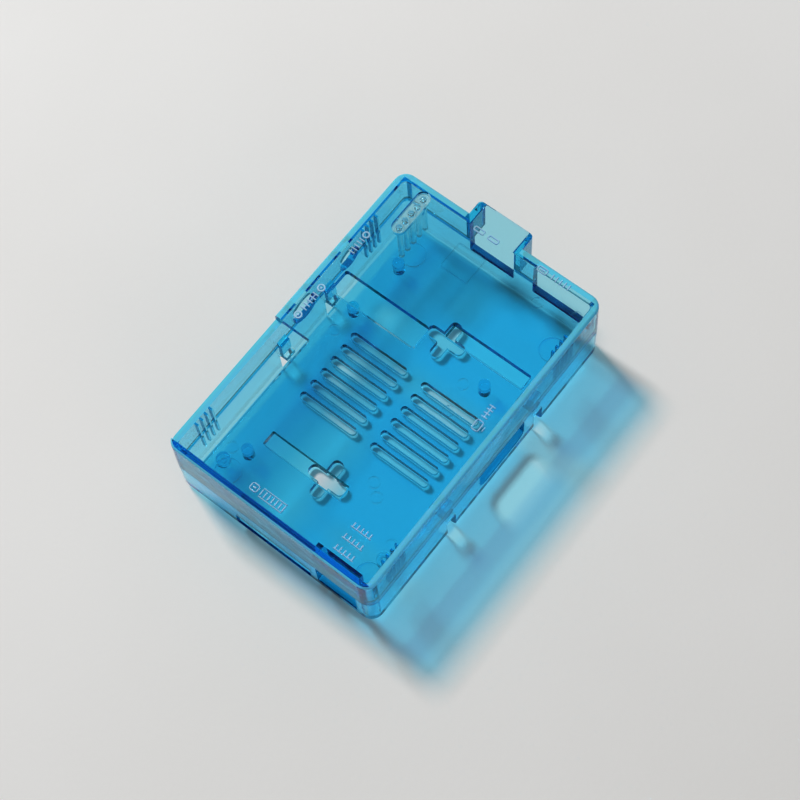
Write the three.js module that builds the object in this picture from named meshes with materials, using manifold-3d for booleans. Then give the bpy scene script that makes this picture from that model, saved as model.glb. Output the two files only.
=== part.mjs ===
// Two-shell snap-together enclosure for a credit-card-sized single board computer.
// A translucent base tray, a translucent lid that lifts straight off, and a clear light pipe.
// Millimetres, +Z up, the tray's feet on z = 0, +X towards the USB and Ethernet end.
import * as THREE from 'three';
import { mergeVertices } from 'three/addons/utils/BufferGeometryUtils.js';
import Module from 'manifold-3d';

const wasm = await Module();
wasm.setup();

// ---- driving dimensions ----
const LENGTH = 95;
const WIDTH = 64;
const HEIGHT = 27.4;
const CORNER_R = 3.5;
const WALL = 2;
const MARK_RISE = 0.25;
const ROOF_TOP = HEIGHT - MARK_RISE;
const ROOF_EDGE_R = 0.8;
const FOOT_RISE = 0.6;
const FLOOR_TOP = FOOT_RISE + 2;
const FLOOR_EDGE_R = 1.6;
const SEAM = 13.8;
const SEAM_GAP = 0.3;
const LIP_RISE = 1.8;
const LIP_THICK = 0.85;
const LIP_GAP = 0.3;
const HOOD_REACH = 4.5;
const HOOD_WALL = 1.5;
const HALF_L = LENGTH / 2;
const HALF_W = WIDTH / 2;
const INNER_L = LENGTH - 2 * WALL;
const INNER_W = WIDTH - 2 * WALL;
const INNER_R = CORNER_R - WALL;
const THROUGH = 4;

// Ports: centre and width along the wall, bottom and top height.
const USB = { at: 1.95, width: 14.1, sill: 10, top: ROOF_TOP - WALL };
const ETHERNET = { at: -20, width: 17.6, sill: 10, top: ROOF_TOP - 3.3 };
const POWER = { at: -20.7, width: 12.6, sill: 4.4 };
const CARD = { at: 0, width: 24, sill: FLOOR_TOP + 0.3, top: 7.8 };
const VIDEO = { at: 4.8, width: 18.4, sill: 5.6 };
const AUDIO_JACK = { at: 21.9, height: 17.2, radius: 3.8 };
const VIDEO_JACK = { at: 3.8, height: 18, radius: 4.8 };

// Roof openings: x from, x to, y from, y to.
const PIN_WINDOW = { x: [-45.4, -4.8], y: [20.8, HALF_W], drop: 2.6 };
const RIBBON_SLOTS = [
  { x: [-33, -28.9], y: [-11.5, 12.3], r: 0.3 },
  { x: [16.3, 20.5], y: [-29.1, -5.6], r: 0.3 },
  { x: [9, 15.8], y: [-1.3, 25.3], r: 0.8 },
];

// Floor: vents, wall-hanging crosses, board posts.
const VENT = { count: 6, pitch: 4.2, length: 18.2, width: 2.2, centreX: -0.5, rows: [12.1, -11.2] };
const CROSS = { span: 11.5, arm: 3.3, r: 1.4, at: [[-25.2, 1], [23.6, 0.4]] };
const POST = { radius: 1.6, top: 7, at: [[-32.2, 21], [15.3, 24.6], [18.1, -16.4], [32.2, 22.7]] };
const PEG = { radius: 1.9, top: 5.4, at: [[-37.6, 24.8], [-33.7, -24.3]] };
const FOOT = { radius: 3.5, inset: 9 };

// Latches: x position and side (+1 or -1 along Y).
const LATCHES = [[-6.2, 1], [12.5, 1], [-16, -1], [20, -1]];
const LATCH = { width: 3.2, arm: 1.2, foot: 2.2, bottom: 9.6, footTop: 12, top: 17.6, gap: 0.3 };
const LATCH_NOTCH = { width: 3.4, inner: 29.8, top: 9 };
const RIB = { count: 4, pitch: 1.75, width: 0.5, depth: 1, bottom: 10.6, gap: 0.3 };
// Thicker lid wall over the power port.
const POWER_BACKING = { x: -44, y: [-27.4, -14] };
const RIB_GROUPS = [[-35.8, 1], [30, 1], [-35.8, -1], [32, -1]];

// Light pipe: five rods under one head.
const PIPE = { x: 38.35, y: 22.3, rods: 5, pitch: 2.5, rodR: 0.8, headR: 1.9, gap: 0.1 };
const PIPE_HEIGHT = { foot: 10, underside: ROOF_TOP - 2.2, headTop: ROOF_TOP - 0.15, lensR: 1.1 };

// The lid's hood makes the whole part longer on +X, so everything shifts to centre it.
const SHIFT_X = -HOOD_REACH / 2;

// ---- solid helpers ----
function toSolid(geometry) {
  const bare = geometry.index ? geometry.toNonIndexed() : geometry.clone();
  bare.deleteAttribute('normal');
  bare.deleteAttribute('uv');
  const merged = mergeVertices(bare, 1e-4);
  const mesh = new wasm.Mesh({
    numProp: 3,
    vertProperties: new Float32Array(merged.attributes.position.array),
    triVerts: new Uint32Array(merged.index.array),
  });
  mesh.merge();
  return new wasm.Manifold(mesh);
}

function toGeometry(solid) {
  const mesh = solid.getMesh();
  const geometry = new THREE.BufferGeometry();
  geometry.setAttribute('position', new THREE.BufferAttribute(new Float32Array(mesh.vertProperties), 3));
  geometry.setIndex(new THREE.BufferAttribute(new Uint32Array(mesh.triVerts), 1));
  const flat = geometry.toNonIndexed();
  flat.computeVertexNormals();
  return flat;
}

function box(x0, x1, y0, y1, z0, z1) {
  const geometry = new THREE.BoxGeometry(x1 - x0, y1 - y0, z1 - z0);
  geometry.translate((x0 + x1) / 2, (y0 + y1) / 2, (z0 + z1) / 2);
  return toSolid(geometry);
}

function roundedRect(x0, x1, y0, y1, r) {
  const shape = new THREE.Shape();
  shape.moveTo(x0 + r, y0);
  shape.lineTo(x1 - r, y0);
  shape.absarc(x1 - r, y0 + r, r, -Math.PI / 2, 0, false);
  shape.lineTo(x1, y1 - r);
  shape.absarc(x1 - r, y1 - r, r, 0, Math.PI / 2, false);
  shape.lineTo(x0 + r, y1);
  shape.absarc(x0 + r, y1 - r, r, Math.PI / 2, Math.PI, false);
  shape.lineTo(x0, y0 + r);
  shape.absarc(x0 + r, y0 + r, r, Math.PI, 1.5 * Math.PI, false);
  return shape;
}

// A rounded-rectangle block; edge > 0 rounds both its top and bottom rims.
function block(x0, x1, y0, y1, r, z0, z1, edge = 0, segments = 5) {
  const geometry = new THREE.ExtrudeGeometry(roundedRect(x0, x1, y0, y1, r), {
    depth: z1 - z0 - 2 * edge,
    curveSegments: segments,
    bevelEnabled: edge > 0,
    bevelThickness: edge,
    bevelSize: edge,
    bevelOffset: -edge,
    bevelSegments: 3,
  });
  geometry.translate(0, 0, z0 + edge);
  return toSolid(geometry);
}

function centredBlock(length, width, r, z0, z1, edge = 0) {
  return block(-length / 2, length / 2, -width / 2, width / 2, r, z0, z1, edge);
}

function upright(radius, x, y, z0, z1, sides = 20) {
  const geometry = new THREE.CylinderGeometry(radius, radius, z1 - z0, sides);
  geometry.rotateX(Math.PI / 2);
  geometry.translate(x, y, (z0 + z1) / 2);
  return toSolid(geometry);
}

function jackHole(jack) {
  const geometry = new THREE.CylinderGeometry(jack.radius, jack.radius, THROUGH * 2, 28);
  geometry.translate(jack.at, HALF_W - WALL / 2, jack.height);
  return toSolid(geometry);
}

function union(solids) {
  return solids.reduce((sum, solid) => sum.add(solid));
}

// A port cut through one end wall; side is +1 for the +X wall, -1 for the -X wall.
function endPort(side, port, z0, z1, r) {
  const shape = roundedRect(port.at - port.width / 2, port.at + port.width / 2, z0, z1, r);
  const geometry = new THREE.ExtrudeGeometry(shape, { depth: THROUGH * 3, curveSegments: 3, bevelEnabled: false });
  geometry.rotateX(Math.PI / 2);
  geometry.rotateZ(Math.PI / 2);
  geometry.translate(side > 0 ? HALF_L - THROUGH : -HALF_L - 2 * THROUGH, 0, 0);
  return toSolid(geometry);
}

// A row of thin marks standing on the roof: frames, rings and dots, one picture per port.
function frame(x, y, w, h, line = 0.45) {
  const outer = block(x - w / 2, x + w / 2, y - h / 2, y + h / 2, 0.4, ROOF_TOP - 0.1, HEIGHT, 0, 1);
  const inner = box(x - w / 2 + line, x + w / 2 - line, y - h / 2 + line, y + h / 2 - line, ROOF_TOP - 1, HEIGHT + 1);
  return outer.subtract(inner);
}

function bar(x, y, w, h) {
  return box(x - w / 2, x + w / 2, y - h / 2, y + h / 2, ROOF_TOP - 0.1, HEIGHT);
}

function dot(x, y, r) {
  return upright(r, x, y, ROOF_TOP - 0.1, HEIGHT, 12);
}

function ring(x, y, r, line = 0.45) {
  return dot(x, y, r).subtract(upright(r - line, x, y, ROOF_TOP - 1, HEIGHT + 1, 12));
}

function roofMarks() {
  return [
    // memory card
    frame(-42.6, 2, 3, 4.2),
    bar(-43, 1, 1.1, 0.5),
    bar(-43, 2, 1.1, 0.5),
    bar(-43, 3, 1.1, 0.5),
    // power plug
    frame(-41.2, -21, 2, 3.2),
    bar(-43.2, -21.8, 2.2, 0.45),
    bar(-43.2, -20.2, 2.2, 0.45),
    bar(-39.2, -21, 2.2, 0.5),
    // screen
    frame(4.6, -26.4, 4.6, 3),
    bar(4.6, -28.5, 2, 0.45),
    // round video socket
    ring(2.6, 27.6, 1.2),
    dot(2.6, 27.6, 0.4),
    ring(6.2, 27.6, 1.2),
    dot(6.2, 27.6, 0.4),
    // sound
    bar(22.4, 27.6, 0.5, 1),
    bar(23.4, 27.6, 0.5, 2),
    bar(24.4, 27.6, 0.5, 1.4),
    bar(25.4, 27.6, 0.5, 2),
    // two stacked sockets
    frame(44, 2.9, 1.4, 3.6),
    frame(42, 2.9, 1.4, 3.6),
    // network socket
    frame(44.6, -18, 2.6, 3),
    bar(42.7, -18, 0.45, 4.6),
  ];
}

// ---- base tray ----
function makeBase() {
  let tray = centredBlock(LENGTH, WIDTH, CORNER_R, FOOT_RISE, 2 * SEAM, FLOOR_EDGE_R);
  tray = tray.subtract(box(-LENGTH, LENGTH, -WIDTH, WIDTH, SEAM, 3 * SEAM));
  tray = tray.subtract(centredBlock(INNER_L, INNER_W, INNER_R, FLOOR_TOP, 2 * SEAM));

  // The locating lip that stands inside the lid.
  const lipOuter = centredBlock(
    INNER_L + 2 * LIP_THICK, INNER_W + 2 * LIP_THICK, INNER_R + LIP_THICK, SEAM - 1, SEAM + LIP_RISE);
  const lipInner = centredBlock(INNER_L, INNER_W, INNER_R, SEAM - 2, SEAM + 2 * LIP_RISE);
  tray = tray.add(lipOuter.subtract(lipInner));

  for (const [x, y] of POST.at) {
    tray = tray.add(upright(POST.radius, x, y, FLOOR_TOP - 0.5, POST.top));
  }
  for (const [x, y] of PEG.at) {
    tray = tray.add(upright(PEG.radius, x, y, FLOOR_TOP - 0.5, PEG.top));
    tray = tray.subtract(upright(PEG.radius / 2, x, y, FLOOR_TOP + 0.5, PEG.top + 1));
  }
  for (const sx of [-1, 1]) {
    for (const sy of [-1, 1]) {
      tray = tray.add(upright(FOOT.radius, sx * (HALF_L - FOOT.inset), sy * (HALF_W - FOOT.inset), 0, FOOT_RISE + 0.5));
    }
  }

  const cuts = [];
  for (const rowY of VENT.rows) {
    for (let i = 0; i < VENT.count; i += 1) {
      const x = VENT.centreX + (i - (VENT.count - 1) / 2) * VENT.pitch;
      const half = VENT.width / 2;
      cuts.push(block(x - half, x + half, rowY - VENT.length / 2, rowY + VENT.length / 2, half - 0.01,
        -1, FLOOR_TOP + 1, 0, 3));
    }
  }
  for (const [x, y] of CROSS.at) {
    const far = CROSS.span / 2;
    const near = CROSS.arm / 2;
    cuts.push(block(x - far, x + far, y - near, y + near, CROSS.r, -1, FLOOR_TOP + 1, 0, 3));
    cuts.push(block(x - near, x + near, y - far, y + far, CROSS.r, -1, FLOOR_TOP + 1, 0, 3));
  }
  cuts.push(endPort(-1, POWER, POWER.sill, SEAM + THROUGH, 0.6));
  cuts.push(endPort(-1, CARD, CARD.sill, CARD.top, 0.4));
  cuts.push(endPort(1, USB, USB.sill, SEAM + THROUGH, 0.5));
  cuts.push(endPort(1, ETHERNET, ETHERNET.sill, SEAM + THROUGH, 0.5));
  cuts.push(jackHole(AUDIO_JACK));
  cuts.push(jackHole(VIDEO_JACK));
  const video = roundedRect(VIDEO.at - VIDEO.width / 2, VIDEO.at + VIDEO.width / 2, VIDEO.sill, SEAM + 3 * THROUGH, 3);
  const videoCut = new THREE.ExtrudeGeometry(video, { depth: THROUGH, curveSegments: 5, bevelEnabled: false });
  videoCut.rotateX(Math.PI / 2);
  videoCut.translate(0, -HALF_W + THROUGH / 2 + 1, 0);
  cuts.push(toSolid(videoCut));
  for (const [x, side] of LATCHES) {
    const y = [side * LATCH_NOTCH.inner, side * (HALF_W + 1)];
    const half = LATCH_NOTCH.width / 2;
    cuts.push(box(x - half, x + half, Math.min(...y), Math.max(...y), -1, LATCH_NOTCH.top));
  }
  return tray.subtract(union(cuts));
}

// ---- lid ----
function makeLid() {
  const bottom = SEAM + SEAM_GAP;
  let lid = centredBlock(LENGTH, WIDTH, CORNER_R, 0, ROOF_TOP, ROOF_EDGE_R);
  const hoodY0 = USB.at - USB.width / 2 - HOOD_WALL;
  const hoodY1 = USB.at + USB.width / 2 + HOOD_WALL;
  lid = lid.add(block(HALF_L - 6, HALF_L + HOOD_REACH, hoodY0, hoodY1, 1.4, 0, ROOF_TOP, ROOF_EDGE_R));
  lid = lid.subtract(box(-LENGTH, LENGTH, -WIDTH, WIDTH, -1, bottom));
  lid = lid.subtract(centredBlock(INNER_L, INNER_W, INNER_R, 0, ROOF_TOP - WALL));

  // Rebate that takes the tray's lip.
  const rebate = LIP_THICK + LIP_GAP;
  lid = lid.subtract(centredBlock(
    INNER_L + 2 * rebate, INNER_W + 2 * rebate, INNER_R + rebate, 0, SEAM + LIP_RISE + LIP_GAP));

  // Guide ribs and snap arms reach down into the tray.
  const wallFace = HALF_W - WALL;
  for (const [centre, side] of RIB_GROUPS) {
    for (let i = 0; i < RIB.count; i += 1) {
      const x = centre + (i - (RIB.count - 1) / 2) * RIB.pitch;
      const half = RIB.width / 2;
      const y = [side * (wallFace - RIB.gap - RIB.depth), side * (wallFace - RIB.gap)];
      const yRoot = [side * (wallFace - RIB.gap - RIB.depth), side * (wallFace + 0.2)];
      lid = lid.add(box(x - half, x + half, Math.min(...y), Math.max(...y), RIB.bottom, ROOF_TOP - WALL + 0.2));
      lid = lid.add(box(x - half, x + half, Math.min(...yRoot), Math.max(...yRoot),
        SEAM + LIP_RISE + LIP_GAP, ROOF_TOP - WALL + 0.2));
    }
  }
  for (const [x, side] of LATCHES) {
    const half = LATCH.width / 2;
    const face = wallFace - LATCH.gap;
    const arm = [side * (face - LATCH.arm), side * face];
    const root = [side * (face - LATCH.arm), side * (wallFace + 0.2)];
    const foot = [side * (face - LATCH.foot), side * face];
    lid = lid.add(box(x - half, x + half, Math.min(...arm), Math.max(...arm), LATCH.bottom, LATCH.top));
    lid = lid.add(box(x - half, x + half, Math.min(...root), Math.max(...root),
      SEAM + LIP_RISE + LIP_GAP, LATCH.top));
    lid = lid.add(box(x - half, x + half, Math.min(...foot), Math.max(...foot), LATCH.bottom, LATCH.footTop));
  }

  lid = lid.add(box(-HALF_L + 1, POWER_BACKING.x, POWER_BACKING.y[0], POWER_BACKING.y[1],
    SEAM + LIP_RISE + LIP_GAP, ROOF_TOP - 1));

  const cuts = [];
  cuts.push(endPort(1, USB, 0, USB.top, 0.6));
  cuts.push(endPort(1, ETHERNET, 0, ETHERNET.top, 0.6));
  cuts.push(jackHole(AUDIO_JACK));
  cuts.push(jackHole(VIDEO_JACK));
  cuts.push(box(PIN_WINDOW.x[0], PIN_WINDOW.x[1], PIN_WINDOW.y[0], HALF_W + 1,
    ROOF_TOP - PIN_WINDOW.drop, HEIGHT + 1));
  for (const slot of RIBBON_SLOTS) {
    cuts.push(block(slot.x[0], slot.x[1], slot.y[0], slot.y[1], slot.r, ROOF_TOP - WALL - 1, HEIGHT + 1, 0, 3));
  }
  const seat = PIPE.headR + PIPE.gap;
  const reach = (PIPE.rods - 1) * PIPE.pitch / 2;
  cuts.push(block(PIPE.x - reach - seat, PIPE.x + reach + seat, PIPE.y - seat, PIPE.y + seat, seat - 0.01,
    ROOF_TOP - WALL - 1, HEIGHT + 1, 0, 8));
  lid = lid.subtract(union(cuts));
  return union([lid, ...roofMarks()]);
}

// ---- light pipe ----
function makeLightPipe() {
  const reach = (PIPE.rods - 1) * PIPE.pitch / 2;
  let pipe = block(PIPE.x - reach - PIPE.headR, PIPE.x + reach + PIPE.headR, PIPE.y - PIPE.headR, PIPE.y + PIPE.headR,
    PIPE.headR - 0.01, PIPE_HEIGHT.underside, PIPE_HEIGHT.headTop - 0.5, 0, 8);
  for (let i = 0; i < PIPE.rods; i += 1) {
    const x = PIPE.x - reach + i * PIPE.pitch;
    pipe = pipe.add(upright(PIPE.rodR, x, PIPE.y, PIPE_HEIGHT.foot, PIPE_HEIGHT.headTop - 0.6, 16));
    const lens = new THREE.SphereGeometry(PIPE_HEIGHT.lensR, 16, 10);
    lens.rotateX(Math.PI / 2);
    lens.translate(x, PIPE.y, PIPE_HEIGHT.headTop - PIPE_HEIGHT.lensR);
    pipe = pipe.add(toSolid(lens));
  }
  return pipe;
}

// ---- assembly ----
const shellPlastic = { color: 0x1fa3dc, roughness: 0.12, metalness: 0, transparent: true, opacity: 0.6 };
const group = new THREE.Group();

function addPart(name, solid, look) {
  const geometry = toGeometry(solid);
  geometry.translate(SHIFT_X, 0, 0);
  const mesh = new THREE.Mesh(geometry, new THREE.MeshStandardMaterial(look));
  mesh.name = name;
  group.add(mesh);
}

addPart('base_shell', makeBase(), shellPlastic);
addPart('top_shell', makeLid(), shellPlastic);
addPart('light_pipe', makeLightPipe(), { color: 0xf2f5f5, roughness: 0.05, metalness: 0, transparent: true, opacity: 0.5 });

export default group;
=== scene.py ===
# %% [markdown]
# # A snap-together case for a small single board computer
#
# The object is an empty case moulded in see-through azure plastic. It has three pieces:
# a tray that the board would sit in, a lid that lifts straight off, and a short clear
# light pipe that carries the board's lamps up to the roof. This lesson builds each piece
# as a closed mesh with real wall thickness, because see-through plastic only looks right
# when light can go in through one face and come out through another.

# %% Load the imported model
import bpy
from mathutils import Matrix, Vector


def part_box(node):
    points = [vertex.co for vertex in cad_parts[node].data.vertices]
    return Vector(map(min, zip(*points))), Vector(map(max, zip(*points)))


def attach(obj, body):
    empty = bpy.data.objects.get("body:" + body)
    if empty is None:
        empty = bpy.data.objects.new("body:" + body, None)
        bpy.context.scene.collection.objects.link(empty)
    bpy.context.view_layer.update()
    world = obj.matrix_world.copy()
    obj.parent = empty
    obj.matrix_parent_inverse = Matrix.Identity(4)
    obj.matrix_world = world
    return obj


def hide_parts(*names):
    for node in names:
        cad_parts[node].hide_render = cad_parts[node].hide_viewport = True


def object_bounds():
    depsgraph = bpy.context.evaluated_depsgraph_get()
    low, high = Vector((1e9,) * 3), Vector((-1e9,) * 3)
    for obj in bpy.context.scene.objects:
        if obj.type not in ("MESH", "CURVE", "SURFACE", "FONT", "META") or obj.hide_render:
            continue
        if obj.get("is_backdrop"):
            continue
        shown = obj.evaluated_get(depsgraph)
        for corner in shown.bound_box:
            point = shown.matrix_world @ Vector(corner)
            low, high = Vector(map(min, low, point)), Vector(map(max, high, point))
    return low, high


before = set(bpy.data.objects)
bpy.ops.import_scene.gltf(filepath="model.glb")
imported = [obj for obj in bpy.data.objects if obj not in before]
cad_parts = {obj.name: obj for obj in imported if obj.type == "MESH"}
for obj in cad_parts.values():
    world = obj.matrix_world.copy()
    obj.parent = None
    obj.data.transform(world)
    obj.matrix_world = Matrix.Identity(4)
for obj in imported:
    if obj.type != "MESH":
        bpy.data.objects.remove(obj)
cad_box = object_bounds()

# %% Modules
import math

import bmesh
import bpy
from mathutils import Matrix, Vector

# %% [markdown]
# The case is drawn in millimetres from the middle of its 95 mm shell. The hood over the
# USB sockets makes the whole object longer on one side, so the drawing's middle and the
# model's middle differ by half the hood's reach. One helper turns a drawn point into a
# Blender point, and every piece uses it.

# %% From drawing millimetres to Blender metres
MM = 0.001
HOOD_REACH = 4.5
SHIFT_X = -HOOD_REACH / 2


def place(x, y, z):
    return Vector(((x + SHIFT_X) * MM, y * MM, z * MM))


def shown(label, box):
    low, high = box
    print(label, [round(v / MM, 2) for v in low], [round(v / MM, 2) for v in high])


for node in sorted(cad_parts):
    shown(node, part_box(node))

# %% [markdown]
# The camera comes first, so that every later choice can be looked at. It stands high over
# one corner of the case, half a metre away, with a long lens and a slight tilt to one side.

# %% Camera
CAMERA_AIM = (4.004, 0.46, 0)
CAMERA_BEARING = math.radians(-135.63)
CAMERA_RISE = math.radians(67.782)
CAMERA_DISTANCE = 489.29
CAMERA_TILT = math.radians(-6.732)
LENS_MM = 84.70
SENSOR_MM = 36
CLIP_NEAR, CLIP_FAR = 0.01, 20


def make_camera():
    back = Vector((
        math.cos(CAMERA_RISE) * math.cos(CAMERA_BEARING),
        math.cos(CAMERA_RISE) * math.sin(CAMERA_BEARING),
        math.sin(CAMERA_RISE),
    ))
    level = Vector((0, 0, 1)).cross(back).normalized()
    upward = back.cross(level)
    right = level * math.cos(CAMERA_TILT) + upward * math.sin(CAMERA_TILT)
    up = upward * math.cos(CAMERA_TILT) - level * math.sin(CAMERA_TILT)
    data = bpy.data.cameras.new("camera")
    data.lens = LENS_MM
    data.sensor_width = SENSOR_MM
    data.clip_start = CLIP_NEAR
    data.clip_end = CLIP_FAR
    camera = bpy.data.objects.new("camera", data)
    turn = Matrix((right, up, back)).transposed().to_4x4()
    spot = place(*CAMERA_AIM) + back * CAMERA_DISTANCE * MM
    camera.matrix_world = Matrix.Translation(spot) @ turn
    bpy.context.scene.collection.objects.link(camera)
    bpy.context.scene.camera = camera
    return camera


camera = make_camera()
print("camera at", [round(v, 3) for v in camera.location])

# %% [markdown]
# Every finish below is built from the same few shader nodes. A noise texture gives soft,
# uneven patches, and a map range turns them into the numbers that a finish needs. Two
# short helpers make those nodes, so that each finish reads as a list of what it does.

# %% Shader helpers
def patches(nodes, scale, detail):
    noise = nodes.new("ShaderNodeTexNoise")
    noise.inputs["Scale"].default_value = scale
    noise.inputs["Detail"].default_value = detail
    return noise


def map_range(nodes, low, high, start=0, stop=1):
    """A map range node that turns start..stop into low..high."""
    node = nodes.new("ShaderNodeMapRange")
    node.inputs["From Min"].default_value = start
    node.inputs["From Max"].default_value = stop
    node.inputs["To Min"].default_value = low
    node.inputs["To Max"].default_value = high
    return node


def new_material(name):
    material = bpy.data.materials.new(name)
    material.use_nodes = True
    return material, material.node_tree.nodes, material.node_tree.links


print("helpers", patches.__name__, map_range.__name__)

# %% [markdown]
# The case lies on a matt, pale table. A painted board is never one flat tone, so its
# colour drifts a little between two near whites, and a very fine grain roughens it.

# %% Table
TABLE_SIZE = 3.0
TABLE_TONES = ((0.775, 0.77, 0.76, 1), (0.80, 0.797, 0.79, 1))
TABLE_ROUGHNESS, TABLE_SHINE = 0.75, 0.25
MOTTLE_SCALE, MOTTLE_DETAIL, MOTTLE_START, MOTTLE_STOP = 9, 6, 0.3, 0.7
GRAIN_SCALE, GRAIN_DETAIL, GRAIN_STRENGTH, GRAIN_HEIGHT = 700, 3, 0.12, 0.0003


def make_table():
    mesh = bpy.data.meshes.new("table")
    half = TABLE_SIZE / 2
    corners = [(-half, -half, 0), (half, -half, 0), (half, half, 0), (-half, half, 0)]
    mesh.from_pydata(corners, [], [(0, 1, 2, 3)])
    table = bpy.data.objects.new("table", mesh)
    bpy.context.scene.collection.objects.link(table)
    return table


def matt_table_finish():
    material, nodes, links = new_material("matt_table")
    paint = nodes["Principled BSDF"]
    paint.inputs["Roughness"].default_value = TABLE_ROUGHNESS
    paint.inputs["Specular IOR Level"].default_value = TABLE_SHINE
    where = nodes.new("ShaderNodeTexCoord")
    mottle = patches(nodes, MOTTLE_SCALE, MOTTLE_DETAIL)
    tone = map_range(nodes, 0, 1, MOTTLE_START, MOTTLE_STOP)
    mix = nodes.new("ShaderNodeMix")
    mix.data_type = "RGBA"
    mix.inputs["A"].default_value, mix.inputs["B"].default_value = TABLE_TONES
    grain = patches(nodes, GRAIN_SCALE, GRAIN_DETAIL)
    bump = nodes.new("ShaderNodeBump")
    bump.inputs["Strength"].default_value = GRAIN_STRENGTH
    bump.inputs["Distance"].default_value = GRAIN_HEIGHT
    links.new(where.outputs["Object"], mottle.inputs["Vector"])
    links.new(mottle.outputs["Fac"], tone.inputs["Value"])
    links.new(tone.outputs["Result"], mix.inputs["Factor"])
    links.new(mix.outputs["Result"], paint.inputs["Base Color"])
    links.new(where.outputs["Object"], grain.inputs["Vector"])
    links.new(grain.outputs["Fac"], bump.inputs["Height"])
    links.new(bump.outputs["Normal"], paint.inputs["Normal"])
    return material


table = make_table()
table.data.materials.append(matt_table_finish())
table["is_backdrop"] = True
print("table", TABLE_SIZE, "m square")

# %% [markdown]
# One large soft lamp stands high on the side of the pin window. It is big enough to give
# the shadows soft edges. A weak, wide panel low on the other side and even light from all
# round lift what the lamp leaves dark.

# %% Lamps
LAMP_DIRECTION = Vector((3.5, 21.7, 27.15)).normalized()
LAMP_DISTANCE, LAMP_SIZE, LAMP_WATTS = 1.8, 0.37, 19.3
PANEL_DIRECTION = Vector((-0.25, -0.93, 0.27)).normalized()
PANEL_DISTANCE, PANEL_SIZE, PANEL_WATTS = 1.3, 0.8, 1.5
ROOM_LIGHT, ROOM_COLOUR = 0.165, (1.0, 0.995, 0.985, 1)


def soft_lamp(name, direction, distance, size, watts):
    data = bpy.data.lights.new(name, "AREA")
    data.shape = "SQUARE"
    data.size = size
    data.energy = watts
    lamp = bpy.data.objects.new(name, data)
    lamp.location = direction * distance
    lamp.rotation_mode = "QUATERNION"
    lamp.rotation_quaternion = direction.to_track_quat("Z", "Y")
    bpy.context.scene.collection.objects.link(lamp)
    return lamp


def light_the_room():
    world = bpy.data.worlds.new("room")
    world.use_nodes = True
    sky = world.node_tree.nodes["Background"]
    sky.inputs["Color"].default_value = ROOM_COLOUR
    sky.inputs["Strength"].default_value = ROOM_LIGHT
    bpy.context.scene.world = world


key_lamp = soft_lamp("key_lamp", LAMP_DIRECTION, LAMP_DISTANCE, LAMP_SIZE, LAMP_WATTS)
pale_panel = soft_lamp("pale_panel", PANEL_DIRECTION, PANEL_DISTANCE, PANEL_SIZE, PANEL_WATTS)
light_the_room()
print("lamps", key_lamp.name, pale_panel.name)

# %% [markdown]
# Light has to pass several walls of plastic before it reaches the table under the case,
# and again on its way back to the eye. So the path tracer may bounce many times, and the
# shaders deal with the light that passes straight through, which keeps the picture clean.

# %% Light paths and colour
scene = bpy.context.scene
scene.view_settings.view_transform = "Standard"
scene.view_settings.look = "High Contrast"
scene.cycles.max_bounces = 24
scene.cycles.transmission_bounces = 20
scene.cycles.glossy_bounces = 12
scene.cycles.diffuse_bounces = 4
scene.cycles.transparent_max_bounces = 40
scene.cycles.caustics_reflective = False
scene.cycles.caustics_refractive = False
scene.cycles.sample_clamp_indirect = 6
print("bounces", scene.cycles.max_bounces)

# %% [markdown]
# ## The tinted plastic
#
# The shells are one colour of clear styrene-like plastic. Half of the tint sits in the
# depth of the wall, as Volume Absorption: a thin wall looks pale cyan, two walls look
# azure, and an edge seen along its length goes deep blue. The other half is the base
# colour of the surface, which tints each crossing by the same amount and keeps the long
# ways through a rim from going too dark. The surface is glossy, a little uneven in
# roughness from handling, and very slightly wavy from the mould.

# %% Gloss, handling marks and waves
PLASTIC_IOR = 1.49
HANDLING_SCALE, HANDLING_DETAIL, HANDLING_START, HANDLING_STOP = 60, 5, 0.35, 0.75
FLOW_SCALE, FLOW_DETAIL, FLOW_HEIGHT = 90, 2, 0.001


def glossy_skin(nodes, links, colour, clearness, haze, wave):
    gloss = nodes["Principled BSDF"]
    gloss.inputs["Base Color"].default_value = (*colour, 1)
    gloss.inputs["Transmission Weight"].default_value = clearness
    gloss.inputs["IOR"].default_value = PLASTIC_IOR
    where = nodes.new("ShaderNodeTexCoord")
    handling = patches(nodes, HANDLING_SCALE, HANDLING_DETAIL)
    polished = map_range(nodes, *haze, HANDLING_START, HANDLING_STOP)
    links.new(where.outputs["Object"], handling.inputs["Vector"])
    links.new(handling.outputs["Fac"], polished.inputs["Value"])
    links.new(polished.outputs["Result"], gloss.inputs["Roughness"])
    flow = patches(nodes, FLOW_SCALE, FLOW_DETAIL)
    ripple = nodes.new("ShaderNodeBump")
    ripple.inputs["Strength"].default_value = wave
    ripple.inputs["Distance"].default_value = FLOW_HEIGHT
    links.new(where.outputs["Object"], flow.inputs["Vector"])
    links.new(flow.outputs["Fac"], ripple.inputs["Height"])
    links.new(ripple.outputs["Normal"], gloss.inputs["Normal"])
    return gloss


print("plastic bends light by", PLASTIC_IOR)

# %% [markdown]
# A path tracer can't follow a bent ray from a surface back to a small lamp, so the inside
# of a glass box would stay black. Rays that look for a lamp therefore go straight through
# the plastic. Each crossing takes its share: the tint of the surface, more where the face
# is seen at a flat angle and mirrors the light away, and a little more on upright walls.

# %% The straight way for lamp light
TO_MIN, TO_MAX = 9, 10
MIRROR_SHARE = 0.7
LAMP_LIFT = (1.0, 1.04, 1.05)
UPRIGHT_SHARE = 0.89


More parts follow.
